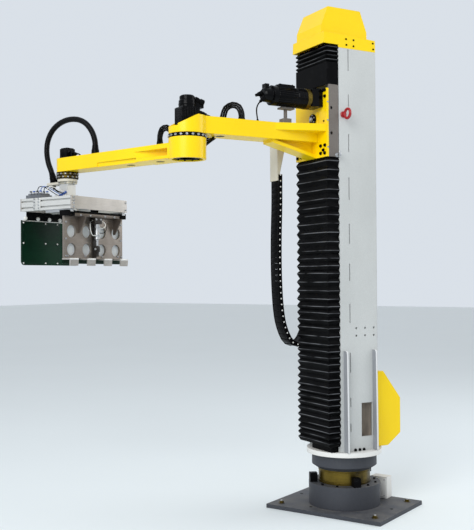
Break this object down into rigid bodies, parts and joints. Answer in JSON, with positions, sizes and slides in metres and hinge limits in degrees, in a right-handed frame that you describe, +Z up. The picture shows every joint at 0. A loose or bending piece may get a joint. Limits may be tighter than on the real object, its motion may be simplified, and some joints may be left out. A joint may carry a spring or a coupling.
{
  "type": "column palletizing robot arm",
  "caption": "Column robot arm: turning steel column with a lifting carriage, jointed horizontal arm and a clamp gripper at the wrist, used to stack boxes.",
  "frame": {"origin": "centre of the base plate's underside, on the column's turning axis, at floor level", "axes": "+Z up along the column; X and Y along the base plate's edges; the arm reaches out towards +X and -Y at rest"},
  "size_m": [1.2427, 1.7466, 2.55],
  "materials": {
    "dark_grey_paint": "satin grey enamel",
    "reducer_gold": "oily yellow chromate",
    "white_paint": "satin white enamel",
    "black_steel": "black oxide",
    "column_grey": "satin light grey enamel",
    "bright_steel": "ground",
    "bellows_black": "coated cloth",
    "yellow_paint": "gloss yellow enamel",
    "red_paint": "gloss red enamel",
    "plate_grey": "satin grey brown",
    "motor_black": "satin black",
    "chain_black": "moulded",
    "hose_black": "ribbed",
    "ivory_paint": "satin ivory",
    "aluminium": "anodised",
    "green_pad": "smooth",
    "stainless": "brushed",
    "valve_grey": "moulded",
    "pale_sheet": "smooth"
  },
  "bodies": {
    "base": {"base_plate": "dark_grey_paint", "base_drum": "dark_grey_paint", "stop_blocks": "black_steel", "slew_reducer": "reducer_gold", "junction_box": "white_paint"},
    "column": {"turntable_flange": "dark_grey_paint", "mounting_disc": "white_paint", "column_side_walls": "column_grey", "column_end_walls": "column_grey", "column_ribs": "column_grey", "guide_rails": "bright_steel", "bellows_foot": "black_steel", "lower_bellows": "bellows_black", "upper_bellows": "bellows_black", "top_cap": "yellow_paint", "rear_cover": "yellow_paint", "lifting_eyes": "red_paint", "chain_anchor": "ivory_paint"},
    "carriage": {"guide_blocks": "bright_steel", "carriage_side_plates": "plate_grey", "carriage_front_plate": "yellow_paint", "carriage_top_cover": "black_steel", "upper_arm": "yellow_paint", "drive_hub": "black_steel", "lift_gearbox": "motor_black", "lift_motor": "motor_black", "elbow_ring": "black_steel", "elbow_motor": "motor_black", "arm_post": "plate_grey", "chain_bracket": "ivory_paint", "drag_chain": "chain_black", "conduit_glands": "chain_black", "conduit_a": "hose_black", "conduit_b": "hose_black", "conduit_c": "hose_black"},
    "forearm": {"forearm": "yellow_paint", "wrist_motor": "motor_black", "wrist_reducer": "reducer_gold", "forearm_glands": "chain_black", "wrist_hose": "hose_black"},
    "tool": {"tool_flange": "ivory_paint", "tool_gland": "chain_black", "tool_post": "aluminium", "frame_profiles": "aluminium", "frame_side_plates": "stainless", "jaw_rails": "bright_steel", "clamp_cylinder": "aluminium", "pad_hanger": "black_steel", "fixed_pad": "green_pad", "valve_block": "valve_grey"},
    "jaw": {"jaw_carrier": "black_steel", "jaw_plate": "stainless", "jaw_sheet": "pale_sheet", "jaw_board": "green_pad", "claw_drive": "black_steel", "jaw_fingers": "stainless", "clamp_rod": "bright_steel"}
  },
  "joints": [
    {"name": "column_turn", "type": "hinge", "parent": "base", "child": "column", "pos_m": [0, 0, 0.205], "axis": [0, 0, 1], "range_deg": [-83.5, 136.5]},
    {"name": "lift", "type": "slide", "parent": "column", "child": "carriage", "axis": [0, 0, 1], "range_m": [-1.15, 0], "deforming": ["lower_bellows", "upper_bellows", "drag_chain"]},
    {"name": "elbow_turn", "type": "hinge", "parent": "carriage", "child": "forearm", "pos_m": [0.79918, -0.39846, 1.846], "axis": [0, 0, 1], "range_deg": [-68, 202], "deforming": ["conduit_a", "conduit_b", "conduit_c"]},
    {"name": "wrist_turn", "type": "hinge", "parent": "forearm", "child": "tool", "pos_m": [0.74747, -1.24388, 1.714], "axis": [0, 0, 1], "range_deg": [-120, 120], "deforming": ["wrist_hose"]},
    {"name": "jaw_slide", "type": "slide", "parent": "tool", "child": "jaw", "axis": [0, -1, 0], "range_m": [0, 0.07]}
  ]
}
